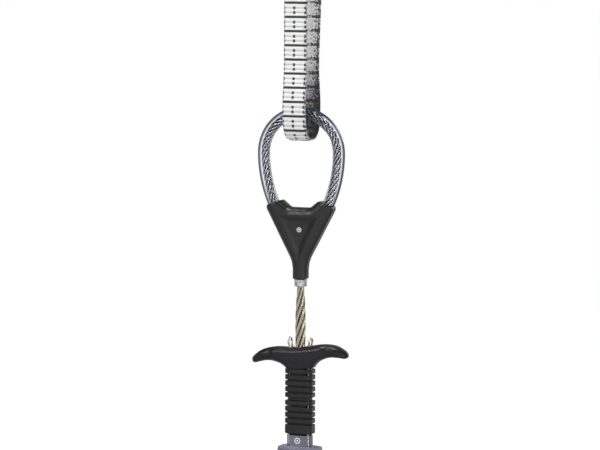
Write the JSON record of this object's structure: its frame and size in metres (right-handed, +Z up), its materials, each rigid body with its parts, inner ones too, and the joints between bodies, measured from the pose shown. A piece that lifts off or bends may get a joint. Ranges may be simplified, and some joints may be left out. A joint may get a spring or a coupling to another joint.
{
  "type": "climbing cam",
  "caption": "Spring-loaded camming device for climbing cracks: lobed head, cable stem, finger trigger, thumb loop and sewn sling.",
  "frame": {"origin": "inside of the sling's upper bend, where the carabiner pulls; the cam hangs head down below it", "axes": "+Z up along the stem towards the sling, +X along the lobe axles and across the thumb loop, +Y to the rear, so the front faces -Y"},
  "size_m": [0.0504, 0.0268, 0.3047],
  "materials": {
    "webbing": "matte",
    "thread": "matte",
    "cable_steel": "satin",
    "clear_tube": "gloss",
    "yoke_plastic": "satin",
    "ferrule_metal": "satin",
    "trigger_plastic": "satin",
    "sleeve_plastic": "matte",
    "head_anodised": "anodised",
    "axle_steel": "satin",
    "lobe_anodised": "anodised",
    "spring_steel": "satin"
  },
  "bodies": {
    "sling_body": {"sling": "webbing", "sling_splice": "webbing", "sling_bartacks": "thread"},
    "handle": {"thumb_loop_cable": "cable_steel", "thumb_loop_tube": "clear_tube", "yoke_front": "yoke_plastic", "yoke_rear": "yoke_plastic", "yoke_pins": "axle_steel", "ferrule": "ferrule_metal"},
    "head": {"stem_cable": "cable_steel", "sleeve_upper": "sleeve_plastic", "sleeve_lower": "sleeve_plastic", "head_frame": "head_anodised", "axle_front": "axle_steel", "axle_rear": "axle_steel", "axle_washers": "axle_steel", "axle_spacers": "axle_steel", "springs_front": "spring_steel", "springs_rear": "spring_steel"},
    "trigger": {"trigger_bar": "trigger_plastic", "trigger_cable_left": "cable_steel", "trigger_cable_right": "cable_steel"},
    "cam_1": {"lobe_1": "lobe_anodised", "pull_pin_1": "axle_steel", "lobe_wire_1": "cable_steel"},
    "cam_2": {"lobe_2": "lobe_anodised", "pull_pin_2": "axle_steel", "lobe_wire_2": "cable_steel"},
    "cam_3": {"lobe_3": "lobe_anodised", "pull_pin_3": "axle_steel", "lobe_wire_3": "cable_steel"},
    "cam_4": {"lobe_4": "lobe_anodised", "pull_pin_4": "axle_steel", "lobe_wire_4": "cable_steel"}
  },
  "joints": [
    {"name": "sling_swing", "type": "hinge", "parent": "sling_body", "child": "handle", "pos_m": [0, 0, -0.1082], "axis": [1, 0, 0], "range_deg": [-90, 90]},
    {"name": "stem_flex", "type": "hinge", "parent": "handle", "child": "head", "pos_m": [0, 0, -0.202], "axis": [1, 0, 0], "range_deg": [-40, 40], "stiffness_Nm_per_rad": 0.4, "deforming": ["stem_cable"]},
    {"name": "trigger_pull", "type": "slide", "parent": "head", "child": "trigger", "axis": [0, 0, 1], "range_m": [0, 0.011], "stiffness_N_per_m": 300, "springref_m": -0.01},
    {"name": "cam_1_turn", "type": "hinge", "parent": "head", "child": "cam_1", "pos_m": [0, -0.003, -0.292], "axis": [1, 0, 0], "range_deg": [0, 85], "deforming": ["lobe_wire_1"]},
    {"name": "cam_2_turn", "type": "hinge", "parent": "head", "child": "cam_2", "pos_m": [0, 0.003, -0.292], "axis": [1, 0, 0], "range_deg": [-85, 0], "deforming": ["lobe_wire_2"]},
    {"name": "cam_3_turn", "type": "hinge", "parent": "head", "child": "cam_3", "pos_m": [0, 0.003, -0.292], "axis": [1, 0, 0], "range_deg": [-85, 0], "deforming": ["lobe_wire_3"]},
    {"name": "cam_4_turn", "type": "hinge", "parent": "head", "child": "cam_4", "pos_m": [0, -0.003, -0.292], "axis": [1, 0, 0], "range_deg": [0, 85], "deforming": ["lobe_wire_4"]}
  ],
  "couplings": [
    {"joint": "cam_1_turn", "follows": "trigger_pull", "rad_per_m": 134.86},
    {"joint": "cam_2_turn", "follows": "trigger_pull", "rad_per_m": -134.86},
    {"joint": "cam_3_turn", "follows": "trigger_pull", "rad_per_m": -134.86},
    {"joint": "cam_4_turn", "follows": "trigger_pull", "rad_per_m": 134.86}
  ]
}
